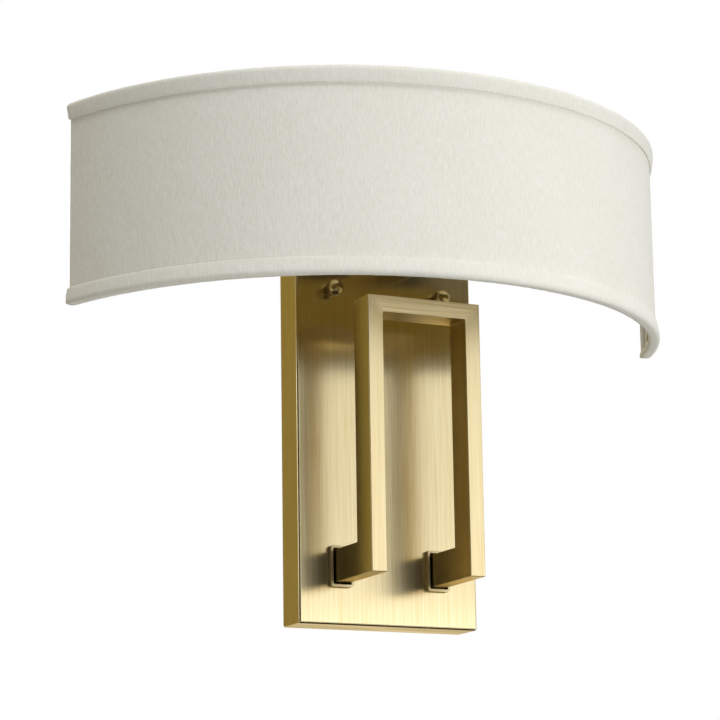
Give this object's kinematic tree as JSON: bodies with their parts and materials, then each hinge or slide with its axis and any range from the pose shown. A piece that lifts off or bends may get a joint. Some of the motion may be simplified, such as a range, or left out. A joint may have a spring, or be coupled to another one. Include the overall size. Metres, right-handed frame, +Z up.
{
  "type": "fabric shade wall light",
  "caption": "Wall light with a half-round linen shade over a tall brushed brass back plate, a standing loop of rectangular tube, ball knobs and candle lampholders.",
  "frame": {"origin": "on the wall plane, at the centre of the wall bracket, midway between the two fixing studs and the two box screws", "axes": "+X to the right as seen by someone facing the light, +Y into the wall, +Z up; the light stands out of the wall towards -Y"},
  "size_m": [0.386, 0.1467, 0.2962],
  "materials": {
    "brushed_brass": "vertically brushed antique brass, satin lacquer",
    "brass_bright": "plain drawn brass",
    "zinc_steel": "zinc plated",
    "green_screw": "green passivated",
    "linen": "off-white slubbed linen",
    "linen_trim": "off-white linen tape, glued",
    "liner": "styrene sheet",
    "ring_wire": "white powder coat",
    "bracket_paint": "white powder coat, satin",
    "phenolic": "moulded phenolic",
    "nylon": "moulded nylon",
    "bulb_glass": "inside frosted",
    "clear_glass": "clear",
    "black_glass": "black glass",
    "filament_wire": "drawn wire"
  },
  "bodies": {
    "fixture": {"backplate": "brushed_brass", "tube_frame": "brushed_brass", "arm_collar_left": "brushed_brass", "arm_collar_right": "brushed_brass", "wall_bracket": "zinc_steel", "studs": "zinc_steel", "stud_nuts": "zinc_steel", "ground_screw": "green_screw", "frame_bracket": "zinc_steel", "frame_plugs": "zinc_steel", "frame_screws": "zinc_steel", "frame_washers": "zinc_steel", "lamp_bracket": "bracket_paint", "lamp_bracket_screws": "zinc_steel", "lamp_bracket_nuts": "zinc_steel", "wire_bushing": "nylon", "lampholder_nuts": "zinc_steel", "shade_posts": "zinc_steel", "shade_post_nuts": "zinc_steel", "lampholder_left": "phenolic", "lampholder_shell_left": "brass_bright", "lampholder_contact_left": "brass_bright", "lampholder_right": "phenolic", "lampholder_shell_right": "brass_bright", "lampholder_contact_right": "brass_bright"},
    "knob_left": {"knob_left": "brushed_brass"},
    "knob_right": {"knob_right": "brushed_brass"},
    "bulb_left": {"bulb_glass_left": "bulb_glass", "bulb_base_left": "brass_bright", "bulb_insulator_left": "black_glass", "bulb_contact_left": "brass_bright", "bulb_stem_left": "clear_glass", "bulb_filament_left": "filament_wire"},
    "bulb_right": {"bulb_glass_right": "bulb_glass", "bulb_base_right": "brass_bright", "bulb_insulator_right": "black_glass", "bulb_contact_right": "brass_bright", "bulb_stem_right": "clear_glass", "bulb_filament_right": "filament_wire"},
    "shade": {"shade_fabric": "linen", "shade_liner": "liner", "shade_top_trim": "linen_trim", "shade_bottom_trim": "linen_trim", "shade_top_ring": "ring_wire", "shade_bottom_ring": "ring_wire", "shade_strip": "ring_wire", "shade_end_rib_left": "ring_wire", "shade_end_rib_right": "ring_wire"}
  },
  "joints": [
    {"name": "knob_left_turn", "type": "hinge", "parent": "fixture", "child": "knob_left", "pos_m": [-0.03492, -0.022, 0], "axis": [0, -1, 0], "range_deg": [0, 2880]},
    {"name": "knob_right_turn", "type": "hinge", "parent": "fixture", "child": "knob_right", "pos_m": [0.03492, -0.022, 0], "axis": [0, -1, 0], "range_deg": [0, 2880]},
    {"name": "bulb_left_turn", "type": "hinge", "parent": "fixture", "child": "bulb_left", "pos_m": [-0.04, -0.072, 0.03], "axis": [-1, 0, 0], "range_deg": [0, 1080]},
    {"name": "bulb_right_turn", "type": "hinge", "parent": "fixture", "child": "bulb_right", "pos_m": [0.04, -0.072, 0.03], "axis": [1, 0, 0], "range_deg": [0, 1080]},
    {"name": "shade_lift", "type": "slide", "parent": "fixture", "child": "shade", "axis": [0, 0, 1], "range_m": [0, 0.009]}
  ]
}
